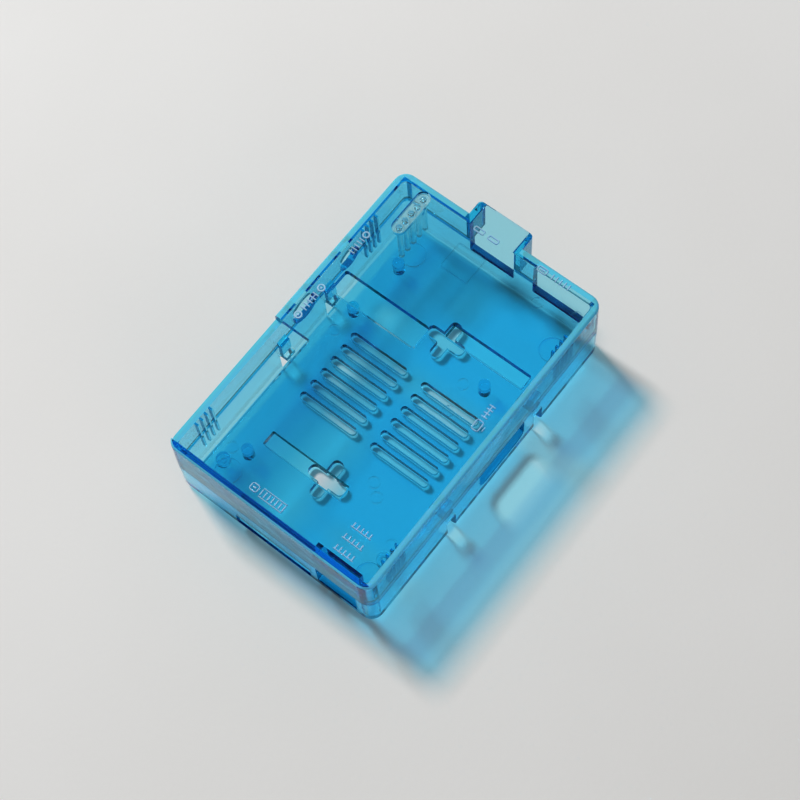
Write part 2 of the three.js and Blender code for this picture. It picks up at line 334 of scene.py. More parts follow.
def lamp_way(nodes, links, tint, share):
    """A Transparent shader whose colour is what one crossing lets through."""
    straight = nodes.new("ShaderNodeBsdfTransparent")
    face = nodes.new("ShaderNodeNewGeometry")
    bend = map_range(nodes, PLASTIC_IOR, 1 / PLASTIC_IOR)
    mirrored = nodes.new("ShaderNodeFresnel")
    passed = nodes.new("ShaderNodeMapRange")
    passed.data_type = "FLOAT_VECTOR"
    lit = [share * lift * part for lift, part in zip(LAMP_LIFT, tint)]
    passed.inputs[TO_MIN].default_value = lit
    passed.inputs[TO_MAX].default_value = [MIRROR_SHARE * part for part in lit]
    slope = nodes.new("ShaderNodeSeparateXYZ")
    steep = nodes.new("ShaderNodeMath")
    steep.operation = "ABSOLUTE"
    upright = map_range(nodes, UPRIGHT_SHARE, 1)
    shaded = nodes.new("ShaderNodeVectorMath")
    shaded.operation = "SCALE"
    links.new(face.outputs["Backfacing"], bend.inputs["Value"])
    links.new(bend.outputs["Result"], mirrored.inputs["IOR"])
    links.new(mirrored.outputs["Fac"], passed.inputs["Vector"])
    links.new(face.outputs["Normal"], slope.inputs["Vector"])
    links.new(slope.outputs["Z"], steep.inputs[0])
    links.new(steep.outputs["Value"], upright.inputs["Value"])
    links.new(passed.outputs["Vector"], shaded.inputs["Vector"])
    links.new(upright.outputs["Result"], shaded.inputs["Scale"])
    links.new(shaded.outputs["Vector"], straight.inputs["Color"])
    return straight


print("an upright wall passes", UPRIGHT_SHARE)

# %% [markdown]
# The two ways are mixed by what kind of ray arrives. Rays from the eye see the gloss, rays
# scattered by a matt surface pass freely, and rays that look for a lamp take the straight
# way. The depth tint is switched off for those last rays, because their share already
# holds it.

# %% See-through plastic
def clear_plastic_finish(name, skin, lamp_skin, tint=None, density=0.0, haze=(0.015, 0.05),
                         wave=0.05, share=1, clearness=1):
    material, nodes, links = new_material(name)
    output = nodes["Material Output"]
    gloss = glossy_skin(nodes, links, skin, clearness, haze, wave)
    straight = lamp_way(nodes, links, lamp_skin, share)
    path = nodes.new("ShaderNodeLightPath")
    open_way = nodes.new("ShaderNodeBsdfTransparent")
    for_matt = nodes.new("ShaderNodeMixShader")
    for_lamps = nodes.new("ShaderNodeMixShader")
    links.new(path.outputs["Is Diffuse Ray"], for_matt.inputs["Fac"])
    links.new(gloss.outputs["BSDF"], for_matt.inputs[1])
    links.new(open_way.outputs["BSDF"], for_matt.inputs[2])
    links.new(path.outputs["Is Shadow Ray"], for_lamps.inputs["Fac"])
    links.new(for_matt.outputs["Shader"], for_lamps.inputs[1])
    links.new(straight.outputs["BSDF"], for_lamps.inputs[2])
    links.new(for_lamps.outputs["Shader"], output.inputs["Surface"])
    if tint is not None:
        depth = nodes.new("ShaderNodeVolumeAbsorption")
        depth.inputs["Color"].default_value = (*tint, 1)
        thin = map_range(nodes, density, 0)
        links.new(path.outputs["Is Shadow Ray"], thin.inputs["Value"])
        links.new(thin.outputs["Result"], depth.inputs["Density"])
        links.new(depth.outputs["Volume"], output.inputs["Volume"])
    return material


print("finish maker", clear_plastic_finish.__name__)

# %% [markdown]
# The shells are one plastic, but the faces of it don't all look alike. The roof and walls
# are mirror smooth. The tops of the walls have the whole wall under them, so little lamp
# light comes out below. The rounded rim is half clear, a little rough and mid blue: a
# painted sheen for the light that the rim bends and mirrors. The cut sides of openings are
# a little rough and coloured dark, which is painted shade for the light they bend away, and
# they pass little lamp light, which paints dark outlines into the shadows. The raised
# pictures are frosted. The light pipe is a different, colourless plastic.

# %% The finishes
AZURE_TINT, AZURE_DENSITY = (0.05, 0.86, 0.985), 195
AZURE_SKIN = (0.72, 0.938, 1.0)
AZURE_FOR_LAMPS = (0.58, 0.915, 0.998)
WALL_TOP_SHARE = 0.4
# The rim's mid blue base colour, with the rim only half clear, is a painted sheen for the light that
# the rounded rim bends and mirrors.
RIM_PAINTED_SHEEN, RIM_CLEARNESS, RIM_HAZE = (0.28, 0.92, 0.98), 0.45, (0.04, 0.12)
# The dark base colour of the cut sides of openings is painted shade, and their small share of lamp
# light paints dark outlines into the shadows on floor and table.
CUT_PAINTED_SHADE, CUT_PAINTED_SHADOW_SHARE, CUT_HAZE = (0.12, 0.36, 0.50), 0.3, (0.05, 0.15)
MARK_SKIN, MARK_CLEARNESS, MARK_HAZE = (0.62, 0.88, 0.97), 0.4, (0.2, 0.4)
CLEAR_SKIN, CLEAR_CLEARNESS, CLEAR_HAZE, CLEAR_WAVE = (0.90, 0.93, 0.92), 0.92, (0.03, 0.12), 0.2


def azure(name, skin=AZURE_SKIN, **look):
    return clear_plastic_finish(
        name, skin, AZURE_FOR_LAMPS, tint=AZURE_TINT, density=AZURE_DENSITY, **look)


shell_finishes = (
    azure("azure_plastic"),
    azure("azure_wall_top", share=WALL_TOP_SHARE),
    azure("azure_rim_painted_sheen", RIM_PAINTED_SHEEN, haze=RIM_HAZE, share=WALL_TOP_SHARE, clearness=RIM_CLEARNESS),
    azure("azure_mark", MARK_SKIN, haze=MARK_HAZE, clearness=MARK_CLEARNESS),
    azure("azure_cut_painted_shade", CUT_PAINTED_SHADE, haze=CUT_HAZE, share=CUT_PAINTED_SHADOW_SHARE),
)
water_clear_plastic = clear_plastic_finish(
    "water_clear_plastic", CLEAR_SKIN, CLEAR_SKIN, haze=CLEAR_HAZE, wave=CLEAR_WAVE,
    clearness=CLEAR_CLEARNESS)
PLAIN, OVER_END_WALL, RIM, RAISED, CUT_SIDE = range(len(shell_finishes))
print("finishes", [finish.name for finish in shell_finishes], water_clear_plastic.name)

# %% [markdown]
# ## Sizes that the pieces share
#
# Both shells are drawn from one list of sizes, so a port can't be cut at one place in the
# tray and at another in the lid. Sizes are in millimetres. "at" is the middle of an opening
# along its wall, "sill" is its lower edge and "top" its upper edge.

# %% Shared sizes of the two shells
LENGTH, WIDTH, CORNER_R, WALL = 95, 64, 3.5, 2
INNER_L, INNER_W, INNER_R = LENGTH - 2 * WALL, WIDTH - 2 * WALL, CORNER_R - WALL
HALF_L, HALF_W = LENGTH / 2, WIDTH / 2
MARK_TOP, ROOF_TOP = 27.4, 27.15
CEILING = ROOF_TOP - WALL
FOOT_RISE, FLOOR_TOP = 0.6, 2.6
SEAM, SEAM_GAP = 13.8, 0.3
LIP_RISE, LIP_THICK, LIP_GAP = 1.8, 0.85, 0.3
THROUGH = 4
USB = {"at": 1.95, "width": 14.1, "sill": 10, "top": CEILING}
ETHERNET = {"at": -20, "width": 17.6, "sill": 10, "top": ROOF_TOP - 3.3}
POWER = {"at": -20.7, "width": 12.6, "sill": 4.4}
CARD = {"at": 0, "width": 24, "sill": FLOOR_TOP + 0.3, "top": 7.8}
VIDEO = {"at": 4.8, "width": 18.4, "sill": 5.6}
AUDIO_JACK = {"at": 21.9, "height": 17.2, "radius": 3.8}
VIDEO_JACK = {"at": 3.8, "height": 18, "radius": 4.8}
LATCHES = [(-6.2, 1), (12.5, 1), (-16, -1), (20, -1)]
LATCH_WIDTH = 3.2
RIB_BOTTOM = 10.6
HOOD_WALL = 1.5
HOOD_SIDES = (USB["at"] - USB["width"] / 2 - HOOD_WALL, USB["at"] + USB["width"] / 2 + HOOD_WALL)
print("case", LENGTH + HOOD_REACH, "by", WIDTH, "by", MARK_TOP, "mm")

# %% [markdown]
# ## Building blocks
#
# Almost everything on a moulded case is a flat outline pulled straight along one axis,
# because that is how it leaves the mould. A loft joins a stack of outlines, so it can also
# round an edge or lean a wall by a fraction of a millimetre.

# %% Outlines
SMALLEST_R = 0.15
HALF_ROUND = 0.01


def rounded_outline(x0, x1, y0, y1, radius, steps=6):
    points = []
    centres = [
        (x1 - radius, y0 + radius, -90),
        (x1 - radius, y1 - radius, 0),
        (x0 + radius, y1 - radius, 90),
        (x0 + radius, y0 + radius, 180),
    ]
    for cx, cy, start in centres:
        for step in range(steps + 1):
            angle = math.radians(start + 90 * step / steps)
            points.append((cx + radius * math.cos(angle), cy + radius * math.sin(angle)))
    return points


def centred_outline(x, y, wide, tall, radius, steps=6, inset=0):
    return rounded_outline(
        x - wide / 2 + inset, x + wide / 2 - inset, y - tall / 2 + inset, y + tall / 2 - inset,
        radius, steps)


def inset_outline(length, width, radius, inset, steps=6):
    return centred_outline(0, 0, length, width, max(radius - inset, SMALLEST_R), steps, inset)


def circle_outline(x, y, radius, steps=28):
    turn = 2 * math.pi / steps
    return [(x + radius * math.cos(turn * i), y + radius * math.sin(turn * i))
            for i in range(steps)]


print("outline points", len(inset_outline(LENGTH, WIDTH, CORNER_R, 0)))

# %% [markdown]
# A rim that curves inwards is a stack of outlines, each set in a little further than the
# one below. The openings in the end walls and the round jack holes come twice, once for
# the tray and once for the lid, so each has its own small function further down.


# %% Lofts
def new_piece(name, mesh):
    piece = bpy.data.objects.new(name, mesh)
    bpy.context.scene.collection.objects.link(piece)
    return piece


def loft(name, rings, turn=lambda u, v, w: (u, v, w)):
    """A closed solid through a stack of outlines, each given with its height."""
    form = bmesh.new()
    rows = [[form.verts.new(place(*turn(u, v, height))) for u, v in outline]
            for outline, height in rings]
    count = len(rows[0])
    for lower, upper in zip(rows, rows[1:]):
        for i in range(count):
            j = (i + 1) % count
            form.faces.new((lower[i], lower[j], upper[j], upper[i]))
    form.faces.new(list(reversed(rows[0])))
    form.faces.new(rows[-1])
    bmesh.ops.recalc_face_normals(form, faces=form.faces)
    mesh = bpy.data.meshes.new(name)
    form.to_mesh(mesh)
    form.free()
    return new_piece(name, mesh)


def slab(outline, z0, z1):
    return loft("slab", [(outline, z0), (outline, z1)])


def block(x0, x1, y0, y1, z0, z1):
    return slab([(x0, y0), (x1, y0), (x1, y1), (x0, y1)], z0, z1)


def along_x(outline, x0, x1):
    """An outline in Y and Z, pulled along X."""
    return loft("slab", [(outline, x0), (outline, x1)], lambda y, z, x: (x, y, z))


def along_y(outline, y0, y1):
    """An outline in X and Z, pulled along Y."""
    return loft("slab", [(outline, y0), (outline, y1)], lambda x, z, y: (x, y, z))


def round_rim(length, width, radius, edge, z_from, z_to, steps=4):
    """Rings for a rim that curves inwards between two heights."""
    rings = []
    for step in range(steps + 1):
        angle = math.radians(90 * step / steps)
        inset = edge * (1 - math.cos(angle))
        height = z_from + (z_to - z_from) * math.sin(angle)
        rings.append((inset_outline(length, width, radius, inset), height))
    return rings


print("building blocks", loft.__name__, round_rim.__name__)

# %% [markdown]
# Openings are cut with Boolean modifiers, and bosses are joined on the same way. Each one
# is applied at once, so the finished piece is a single closed mesh with no helpers left.

# %% Cutting and joining
def apply_modifiers(piece):
    bpy.context.view_layer.update()
    graph = bpy.context.evaluated_depsgraph_get()
    mesh = bpy.data.meshes.new_from_object(piece.evaluated_get(graph))
    old = piece.data
    piece.modifiers.clear()
    piece.data = mesh
    bpy.data.meshes.remove(old)


def combine(piece, tools, operation):
    for tool in tools:
        step = piece.modifiers.new(operation, "BOOLEAN")
        step.operation = operation
        step.solver = "MANIFOLD"
        step.object = tool
    apply_modifiers(piece)
    for tool in tools:
        mesh = tool.data
        bpy.data.objects.remove(tool)
        bpy.data.meshes.remove(mesh)
    return piece


def cut(piece, tools):
    return combine(piece, tools, "DIFFERENCE")


def join(piece, tools):
    return combine(piece, tools, "UNION")


def end_port(side, port, z0, z1, radius):
    y0, y1 = port["at"] - port["width"] / 2, port["at"] + port["width"] / 2
    x0 = HALF_L - THROUGH if side > 0 else -HALF_L - 2 * THROUGH
    return along_x(rounded_outline(y0, y1, z0, z1, radius, 4), x0, x0 + 3 * THROUGH)


def jack_hole(jack):
    outline = circle_outline(jack["at"], jack["height"], jack["radius"], 40)
    return along_y(outline, HALF_W - THROUGH, HALF_W + THROUGH)


print("tools reach", THROUGH, "mm past each wall")


# %% [markdown]
# Real moulded edges are never knife-sharp. After all the cuts, flat faces are merged back
# together and a small bevel breaks every edge, which is where the plastic catches light.
# Weighted normals keep the large faces optically flat beside those small bevels.

# %% Softening the edges
BEVEL_OVER = math.radians(35)
FLAT_UNDER = math.radians(0.5)
SAME_POINT = 0.002 * MM


def soften(piece, width):
    form = bmesh.new()
    form.from_mesh(piece.data)
    bmesh.ops.remove_doubles(form, verts=form.verts, dist=SAME_POINT)
    bmesh.ops.dissolve_limit(
        form, angle_limit=FLAT_UNDER, use_dissolve_boundaries=False,
        verts=form.verts, edges=form.edges, delimit=set())
    form.to_mesh(piece.data)
    form.free()
    edge = piece.modifiers.new("edge", "BEVEL")
    edge.width = width * MM
    edge.segments = 2
    edge.limit_method = "ANGLE"
    edge.angle_limit = BEVEL_OVER
    edge.miter_outer = "MITER_ARC"
    apply_modifiers(piece)
    return piece


print("edges broken over", round(math.degrees(BEVEL_OVER)), "degrees")

# %% [markdown]
# A shell is one mesh with several finishes, so each face has to know where it is. First
# the upward faces are cut along the inner lines of the walls, because the roof and the top
# of a wall are otherwise one big face. Then each face gets the number of its finish from
# where its middle lies and which way it points.

# %% Faces over the walls
WALL_LINE_X, WALL_LINE_Y = 45.5, 30
LEVEL = 0.95


def split_wall_tops(mesh):
    """Cut the upward faces where the walls begin, so that the wall tops can be told apart."""
    form = bmesh.new()
    form.from_mesh(mesh)
    along, across = Vector((1, 0, 0)), Vector((0, 1, 0))
    lines = [(place(side * WALL_LINE_X, 0, 0), along) for side in (-1, 1)]
    lines += [(place(0, side * WALL_LINE_Y, 0), across) for side in (-1, 1)]
    lines += [(place(HALF_L, 0, 0), along)] + [(place(0, side, 0), across) for side in HOOD_SIDES]
    for spot, axis in lines:
        upward = [face for face in form.faces if face.normal.z > LEVEL]
        touched = upward + list({edge for face in upward for edge in face.edges})
        touched += list({point for face in upward for point in face.verts})
        bmesh.ops.bisect_plane(
            form, geom=touched, plane_co=spot, plane_no=axis, dist=0.001 * MM)
    form.to_mesh(mesh)
    form.free()


print("wall lines", WALL_LINE_X, WALL_LINE_Y)

# %% Which finish a face gets
PORT_FROM, PORT_TO = 3, 25
RIB_FROM = 28
ABOVE = 0.05
MARK_FROM = ROOF_TOP + 0.04
ALONG_AXIS, ACROSS_AXIS = 0.9, 0.4
LEANING, FLAT_TOP = 0.15, 0.97


def is_cut_side(x, y, z, normal):
    """The sides of openings in floor and roof, of the guide ribs, and of the wall ports."""
    inside = abs(x) < WALL_LINE_X - 1 and abs(y) < WALL_LINE_Y - 0.6
    in_floor = FOOT_RISE + ABOVE < z < FLOOR_TOP + 2 * ABOVE
    if inside and abs(normal.z) < ALONG_AXIS and (in_floor or z > CEILING):
        return True
    if RIB_FROM < abs(y) < WALL_LINE_Y and abs(normal.x) > ALONG_AXIS and z > RIB_BOTTOM:
        return True
    through_end = abs(x) > WALL_LINE_X and abs(normal.x) < ACROSS_AXIS
    through_side = abs(y) > WALL_LINE_Y and abs(normal.y) < ACROSS_AXIS
    at_the_seam = abs(normal.z) > ALONG_AXIS and z > SEAM - 2 * ABOVE
    return (through_end or through_side) and PORT_FROM < z < PORT_TO and not at_the_seam


def finish_number(face):
    middle, normal = face.center, face.normal
    x, y, z = middle.x / MM - SHIFT_X, middle.y / MM, middle.z / MM
    if z > MARK_FROM:
        return RAISED
    if is_cut_side(x, y, z, normal):
        return CUT_SIDE
    over_wall = abs(x) >= WALL_LINE_X or abs(y) >= WALL_LINE_Y
    if normal.z < LEANING or z < SEAM or not over_wall:
        return PLAIN
    if x > HALF_L or (x > WALL_LINE_X and HOOD_SIDES[0] < y < HOOD_SIDES[1]):
        return PLAIN
    return OVER_END_WALL if x < -WALL_LINE_X and normal.z > FLAT_TOP else RIM


print("finish numbers", PLAIN, OVER_END_WALL, RIM, RAISED, CUT_SIDE)

# %% Putting the finish on
SMOOTH_UNDER = math.radians(32)


def polish(piece, *finishes):
    """Give a piece its finish, or several that depend on where each face is."""
    mesh = piece.data
    mesh.materials.clear()
    for finish in finishes:
        mesh.materials.append(finish)
    if len(finishes) > 1:
        split_wall_tops(mesh)
        for face in mesh.polygons:
            face.material_index = finish_number(face)
    mesh.shade_smooth()
    form = bmesh.new()
    form.from_mesh(mesh)
    for line in form.edges:
        line.smooth = not (line.is_manifold and line.calc_face_angle(0) > SMOOTH_UNDER)
    form.to_mesh(mesh)
    form.free()
    flat = piece.modifiers.new("flat_faces", "WEIGHTED_NORMAL")
    flat.keep_sharp = True
    flat.weight = 100
    print(piece.name, len(mesh.vertices), "points", len(mesh.polygons), "faces")
    return piece


print("smooth under", round(math.degrees(SMOOTH_UNDER)), "degrees")

# %% [markdown]
# ## The tray
#
# The tray is the lower half of the case: a floor with four walls, open at the top, and a
# thin lip round the top that finds the lid. It would come out of a two-part mould as one
# shot of plastic. It is drawn the same way: a solid with a rounded bottom edge, hollowed
# by a smaller solid, with the lip joined on inside the wall.

# %% Tray: the hollow shape
FLOOR_EDGE, FLOOR_FILLET = 1.6, 0.6


def tray_body():
    rim = round_rim(LENGTH, WIDTH, CORNER_R, FLOOR_EDGE, FOOT_RISE + FLOOR_EDGE, FOOT_RISE)
    outer = list(reversed(rim)) + [(inset_outline(LENGTH, WIDTH, CORNER_R, 0), SEAM)]
    tray = loft("tray_shell", outer)
    hollow = inset_outline(INNER_L, INNER_W, INNER_R, 0)
    inner = list(reversed(round_rim(
        INNER_L, INNER_W, INNER_R, FLOOR_FILLET, FLOOR_TOP + FLOOR_FILLET, FLOOR_TOP, 3)))
    cut(tray, [loft("slab", inner + [(hollow, 2 * SEAM)])])
    lip_l, lip_w, lip_r = INNER_L + 2 * LIP_THICK, INNER_W + 2 * LIP_THICK, INNER_R + LIP_THICK
    lip = slab(inset_outline(lip_l, lip_w, lip_r, 0), SEAM - 1, SEAM + LIP_RISE)
    cut(lip, [slab(hollow, SEAM - 2, 2 * SEAM)])
    return join(tray, [lip])


tray = tray_body()
print("tray body", len(tray.data.polygons), "faces")

# %% [markdown]
# Four posts carry the board above the floor, so that its solder points stay clear. Two
# thicker, hollow pegs stand by the corners, and four low round feet keep the floor off
# the table. Each boss starts a little below the floor's surface, so that the two solids
# overlap and the join leaves no crack.

# %% Tray: posts, pegs and feet
POSTS = [(-32.2, 21), (15.3, 24.6), (18.1, -16.4), (32.2, 22.7)]
POST_R, POST_TOP = 1.6, 7
PEGS = [(-37.6, 24.8), (-33.7, -24.3)]
PEG_R, PEG_TOP = 1.9, 5.4
FOOT_R, FOOT_INSET = 3.5, 9
SUNK = 0.5

rising = [slab(circle_outline(x, y, POST_R), FLOOR_TOP - SUNK, POST_TOP) for x, y in POSTS]
rising += [slab(circle_outline(x, y, PEG_R), FLOOR_TOP - SUNK, PEG_TOP) for x, y in PEGS]
for sx in (-1, 1):
    for sy in (-1, 1):
        foot_x, foot_y = sx * (HALF_L - FOOT_INSET), sy * (HALF_W - FOOT_INSET)
        rising.append(slab(circle_outline(foot_x, foot_y, FOOT_R), 0, FOOT_RISE + SUNK))
join(tray, rising)
cut(tray, [slab(circle_outline(x, y, PEG_R / 2, 20), FLOOR_TOP + SUNK, PEG_TOP + 1)
           for x, y in PEGS])
print("posts", len(POSTS), "pegs", len(PEGS))

# %% [markdown]
# The floor has two rows of six long vents, and two crosses that hang the case on a screw
# head in either direction. In the side walls, four small windows take the toes of the
# lid's snap arms. They run down through the floor's edge, as a mould without sliding parts
# needs them to.

# %% Tray: vents, wall-hanging crosses and windows
VENT_ROWS, VENT_COUNT, VENT_PITCH = (12.1, -11.2), 6, 4.2
VENT_LENGTH, VENT_WIDTH, VENT_CENTRE = 18.2, 2.2, -0.5
CROSSES = [(-25.2, 1), (23.6, 0.4)]
CROSS_SPAN, CROSS_ARM, CROSS_R = 11.5, 3.3, 1.4
NOTCH_WIDTH, NOTCH_INNER, NOTCH_TOP = 3.4, 29.8, 9


def through_floor(outline):
    return slab(outline, -1, FLOOR_TOP + 1)


floor_cuts = []
for row in VENT_ROWS:
    for i in range(VENT_COUNT):
        x = VENT_CENTRE + (i - (VENT_COUNT - 1) / 2) * VENT_PITCH
        floor_cuts.append(through_floor(centred_outline(
            x, row, VENT_WIDTH, VENT_LENGTH, VENT_WIDTH / 2 - HALF_ROUND, 7)))
for x, y in CROSSES:
    for wide, tall in ((CROSS_SPAN, CROSS_ARM), (CROSS_ARM, CROSS_SPAN)):
        floor_cuts.append(through_floor(centred_outline(x, y, wide, tall, CROSS_R)))
for x, side in LATCHES:
    near, far = sorted((side * NOTCH_INNER, side * (HALF_W + 1)))
    floor_cuts.append(
        block(x - NOTCH_WIDTH / 2, x + NOTCH_WIDTH / 2, near, far, -1, NOTCH_TOP))
cut(tray, floor_cuts)
print("floor cuts", len(floor_cuts))

# %% [markdown]
# Each socket on the board's edge needs a hole in the wall. Most of them meet the seam, so
# that the board can be dropped in from above: the tray has the lower half of the hole and
# the lid the upper half. Only the memory card's slot lies wholly in the tray.

# %% Tray: ports
video_left, video_right = VIDEO["at"] - VIDEO["width"] / 2, VIDEO["at"] + VIDEO["width"] / 2
video = rounded_outline(video_left, video_right, VIDEO["sill"], SEAM + 3 * THROUGH, 3, 8)
cut(tray, [
    end_port(-1, POWER, POWER["sill"], SEAM + THROUGH, 0.6),
    end_port(-1, CARD, CARD["sill"], CARD["top"], 0.4),
    end_port(1, USB, USB["sill"], SEAM + THROUGH, 0.5),
    end_port(1, ETHERNET, ETHERNET["sill"], SEAM + THROUGH, 0.5),
    jack_hole(AUDIO_JACK),
    jack_hole(VIDEO_JACK),
    along_y(video, -HALF_W - THROUGH, -HALF_W + THROUGH),
])
TRAY_EDGE = 0.22
polish(soften(tray, TRAY_EDGE), *shell_finishes)
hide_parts("base_shell")
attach(tray, "tray")

# %% [markdown]
# ## The lid
#
# The lid carries the roof with its openings: a long window over the pins, slots for two
# ribbon cables and one wide slot, and a seat for the light pipe. It reaches out in a hood
# over the USB sockets, because those stick out past the board. Its walls lean in by a
# fraction of a millimetre, so that it would slip out of the mould. Inside the seam a
# rebate leaves room for the tray's lip.

# %% Lid: the hollow shape
DRAFT = 0.2
ROOF_EDGE, ROOF_FILLET, ROOF_STEPS = 0.8, 0.5, 4
HOOD_R, HOOD_ROOT = 1.2, HALF_L - 8


def hood():
    y0, y1 = HOOD_SIDES

    def outline(inset):
        return rounded_outline(
            HOOD_ROOT, HALF_L + HOOD_REACH - inset, y0 + inset, y1 - inset,
            HOOD_R - inset * 0.6, 5)

    rings = [(outline(0), SEAM + SEAM_GAP)]
    for step in range(ROOF_STEPS + 1):
        angle = math.radians(90 * step / ROOF_STEPS)
        inset = ROOF_EDGE * (1 - math.cos(angle))
        rings.append((outline(inset), ROOF_TOP - ROOF_EDGE * (1 - math.sin(angle))))
    return loft("slab", rings)


def lid_body():
    roof_l, roof_w = LENGTH - 2 * DRAFT, WIDTH - 2 * DRAFT
    outer = [(inset_outline(LENGTH, WIDTH, CORNER_R, 0), SEAM + SEAM_GAP)]
    outer += round_rim(roof_l, roof_w, CORNER_R, ROOF_EDGE, ROOF_TOP - ROOF_EDGE, ROOF_TOP)
    lid = join(loft("lid_shell", outer), [hood()])
    inner = [(inset_outline(INNER_L, INNER_W, INNER_R, 0), 0)]
    inner += round_rim(
        INNER_L, INNER_W, INNER_R, ROOF_FILLET, CEILING - ROOF_FILLET, CEILING, 3)
    rebate = LIP_THICK + LIP_GAP
    wide = inset_outline(INNER_L + 2 * rebate, INNER_W + 2 * rebate, INNER_R + rebate, 0)
    return cut(lid, [loft("slab", inner), slab(wide, 0, SEAM + LIP_RISE + LIP_GAP)])


lid = lid_body()
print("lid body", len(lid.data.polygons), "faces")

# %% [markdown]
# Groups of thin ribs hang in the lid's corners and stop the board from sliding. Four snap
# arms hang beside the walls: on the real case they bend inwards, and their toes catch in
# the tray's windows. Behind both, the wall must stay clear for the tray's lip, so they are
# joined to the wall only above it. Over the power socket the wall is thicker.

# %% Lid: guide ribs and snap arms
RIB_GROUPS = [(-35.8, 1), (30, 1), (-35.8, -1), (32, -1)]
RIB_COUNT, RIB_PITCH, RIB_WIDTH, RIB_DEPTH, RIB_GAP, RIB_TIP = 4, 1.75, 0.5, 1, 0.3, 0.4
LATCH_ARM, LATCH_FOOT, LATCH_SLOPE, LATCH_GAP = 1.2, 2.2, 0.6, 0.3
LATCH_BOTTOM, LATCH_FOOT_TOP, LATCH_TOP = 9.6, 12, 17.6
WALL_FACE = HALF_W - WALL
ROOTED = 0.2
ABOVE_LIP = SEAM + LIP_RISE + LIP_GAP
POWER_BACKING = {"inner": -44, "y": (-27.4, -14)}


def wall_rib(x, side):
    """A rib hanging down the wall, stepped back where the tray's lip passes behind it."""
    front, back = WALL_FACE - RIB_GAP - RIB_DEPTH, WALL_FACE - RIB_GAP
    root, top = WALL_FACE + ROOTED, CEILING + ROOTED
    outline = [(front, RIB_BOTTOM + RIB_TIP), (front + RIB_TIP, RIB_BOTTOM), (back, RIB_BOTTOM),
               (back, ABOVE_LIP), (root, ABOVE_LIP), (root, top), (front, top)]
    outline = [(side * y, z) for y, z in outline]
    return along_x(outline, x - RIB_WIDTH / 2, x + RIB_WIDTH / 2)


def snap_arm(x, side):
    face = WALL_FACE - LATCH_GAP
    front, toe, root = face - LATCH_ARM, face - LATCH_FOOT, WALL_FACE + ROOTED
    outline = [(face, LATCH_BOTTOM), (face, ABOVE_LIP), (root, ABOVE_LIP), (root, LATCH_TOP),
               (face, LATCH_TOP), (front, LATCH_TOP - 1), (front, LATCH_FOOT_TOP),
               (toe, LATCH_FOOT_TOP - LATCH_SLOPE), (toe, LATCH_BOTTOM)]
    outline = [(side * y, z) for y, z in outline]
    return along_x(outline, x - LATCH_WIDTH / 2, x + LATCH_WIDTH / 2)


hanging = []
for centre, side in RIB_GROUPS:
    for i in range(RIB_COUNT):
        hanging.append(wall_rib(centre + (i - (RIB_COUNT - 1) / 2) * RIB_PITCH, side))
hanging += [snap_arm(x, side) for x, side in LATCHES]
hanging.append(block(
    -HALF_L + 1, POWER_BACKING["inner"], *POWER_BACKING["y"], ABOVE_LIP, ROOF_TOP - 1))
join(lid, hanging)
print("ribs and arms", len(hanging))

# %% [markdown]
# The roof's openings let cables out: a window along one edge over the board's row of pins,
# two narrow slots for the display's and the camera's ribbon, and one wide slot. The seat
# for the light pipe follows the pipe's head with a hair of room. The upper halves of the
# wall ports are cut here too.

# %% Lid: openings
PIN_WINDOW = {"x": (-45.4, -4.8), "y": 20.8, "drop": 2.6}
SLOTS = [
    ((-33, -28.9), (-11.5, 12.3), 0.3),
    ((16.3, 20.5), (-29.1, -5.6), 0.3),
    ((9, 15.8), (-1.3, 25.3), 0.8),
]
PIPE_X, PIPE_Y, PIPE_RODS, PIPE_PITCH, PIPE_HEAD_R, PIPE_GAP = 38.35, 22.3, 5, 2.5, 1.9, 0.1
PIPE_REACH = (PIPE_RODS - 1) * PIPE_PITCH / 2


def pipe_outline(reach, radius, steps):
    """The outline of the pipe's head, or of its seat: a bar with round ends."""
    return rounded_outline(
        PIPE_X - PIPE_REACH - reach, PIPE_X + PIPE_REACH + reach,
        PIPE_Y - reach, PIPE_Y + reach, radius, steps)


def through_roof(outline):
    return slab(outline, CEILING - 1, MARK_TOP + 1)


seat = PIPE_HEAD_R + PIPE_GAP
cut(lid, [
    end_port(1, USB, 0, USB["top"], 0.6),
    end_port(1, ETHERNET, 0, ETHERNET["top"], 0.6),
    jack_hole(AUDIO_JACK),
    jack_hole(VIDEO_JACK),
    block(*PIN_WINDOW["x"], PIN_WINDOW["y"], HALF_W + 1,
          ROOF_TOP - PIN_WINDOW["drop"], MARK_TOP + 1),
    through_roof(pipe_outline(seat, seat - HALF_ROUND, 10)),
] + [through_roof(rounded_outline(*xs, *ys, radius, 4)) for xs, ys, radius in SLOTS])
print("openings", len(SLOTS) + 2)

# %% [markdown]
# Round pins push the lid out of its mould, and each leaves a faint ring on the underside of
# the roof. A square core does the same near one end. They are grooves two tenths of a
# millimetre deep, which is enough for clear plastic to show them. They come just before
# the edges are softened, so that the grooves' edges are softened too.

# %% Lid: marks of the mould
EJECTORS = [
    (1.3, 17.7), (-38, 18), (-24.2, -15.2), (-26.9, -18.1), (1.2, -18.2), (9, -16.8),
    (37.7, -18.2), (40.3, -28.2), (-34.1, -28.4),
]
EJECTOR_R, GROOVE_WIDTH, GROOVE_DEPTH = 1.6, 0.3, 0.2
SQUARE_CORE, SQUARE_R = (31, 39.4, -1, 7.6), 0.4
LID_EDGE = 0.2


def groove(outer, inner):
    line = slab(outer, CEILING - 1, CEILING + GROOVE_DEPTH)
    return cut(line, [slab(inner, CEILING - 2, CEILING + 1)])


